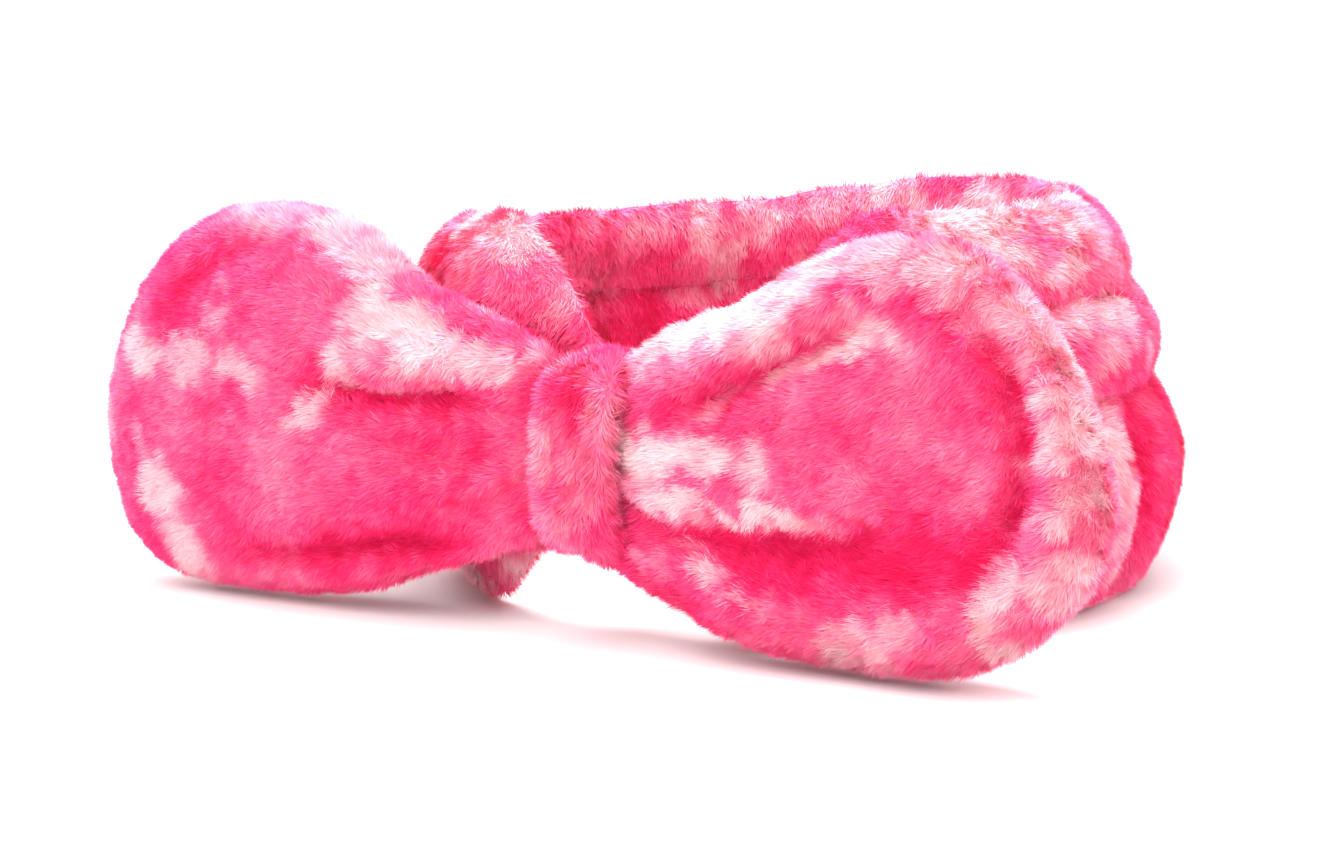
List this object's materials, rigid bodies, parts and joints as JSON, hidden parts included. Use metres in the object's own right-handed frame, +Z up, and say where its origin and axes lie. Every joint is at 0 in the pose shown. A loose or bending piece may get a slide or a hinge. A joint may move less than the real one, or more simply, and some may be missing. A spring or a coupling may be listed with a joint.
{
  "type": "plush spa headband",
  "caption": "Plush stretch headband with an elastic channel round the band and a soft two-loop bow held by a gathered knot wrap.",
  "frame": {"origin": "centre of the bounding box's bottom face, on the surface that the band's lower edge stands on", "axes": "+Z up along the band's axis, +X along the bow towards the viewer's right, the bow faces -Y"},
  "size_m": [0.2552, 0.2058, 0.0915],
  "materials": {
    "plush_outer": "tie-dyed plush pile",
    "plush_lining": "tie-dyed plush pile",
    "plush_knot": "tie-dyed plush pile",
    "plush_bow": "tie-dyed plush pile",
    "padding": "loose polyester fibre",
    "elastic": "woven elastic",
    "thread": "spun polyester thread"
  },
  "bodies": {
    "front_band": {"band_front_outer_panel": "plush_outer", "band_front_inner_panel": "plush_lining", "band_right_side_outer_panel": "plush_outer", "band_right_side_inner_panel": "plush_lining", "band_left_side_outer_panel": "plush_outer", "band_left_side_inner_panel": "plush_lining", "elastic_strip": "elastic", "lower_row_needle_thread": "thread", "lower_row_bobbin_thread": "thread", "upper_row_needle_thread": "thread", "upper_row_bobbin_thread": "thread", "knot_wrap": "plush_knot", "knot_wrap_closing_stitches": "thread", "bow_waist": "plush_knot"},
    "rear_band": {"band_rear_outer_panel": "plush_outer", "band_rear_inner_panel": "plush_lining", "band_rear_closing_seam": "thread"},
    "left_loop": {"left_loop_front_panel": "plush_bow", "left_loop_back_panel": "plush_bow", "left_loop_padding": "padding", "left_loop_edge_seam": "thread"},
    "right_loop": {"right_loop_front_panel": "plush_bow", "right_loop_back_panel": "plush_bow", "right_loop_padding": "padding", "right_loop_edge_seam": "thread"}
  },
  "joints": [
    {"name": "band_stretch", "type": "slide", "parent": "front_band", "child": "rear_band", "axis": [0, 1, 0], "range_m": [0, 0.05], "stiffness_N_per_m": 120, "deforming": ["band_right_side_outer_panel", "band_right_side_inner_panel", "band_left_side_outer_panel", "band_left_side_inner_panel", "elastic_strip", "lower_row_needle_thread", "lower_row_bobbin_thread", "upper_row_needle_thread", "upper_row_bobbin_thread"]},
    {"name": "left_loop_fold", "type": "hinge", "parent": "front_band", "child": "left_loop", "pos_m": [-0.0155, -0.0823, 0.044], "axis": [0, 0, 1], "range_deg": [0, 50], "stiffness_Nm_per_rad": 0.05},
    {"name": "right_loop_fold", "type": "hinge", "parent": "front_band", "child": "right_loop", "pos_m": [0.0315, -0.0823, 0.043], "axis": [0, 0, -1], "range_deg": [0, 50], "stiffness_Nm_per_rad": 0.05}
  ]
}
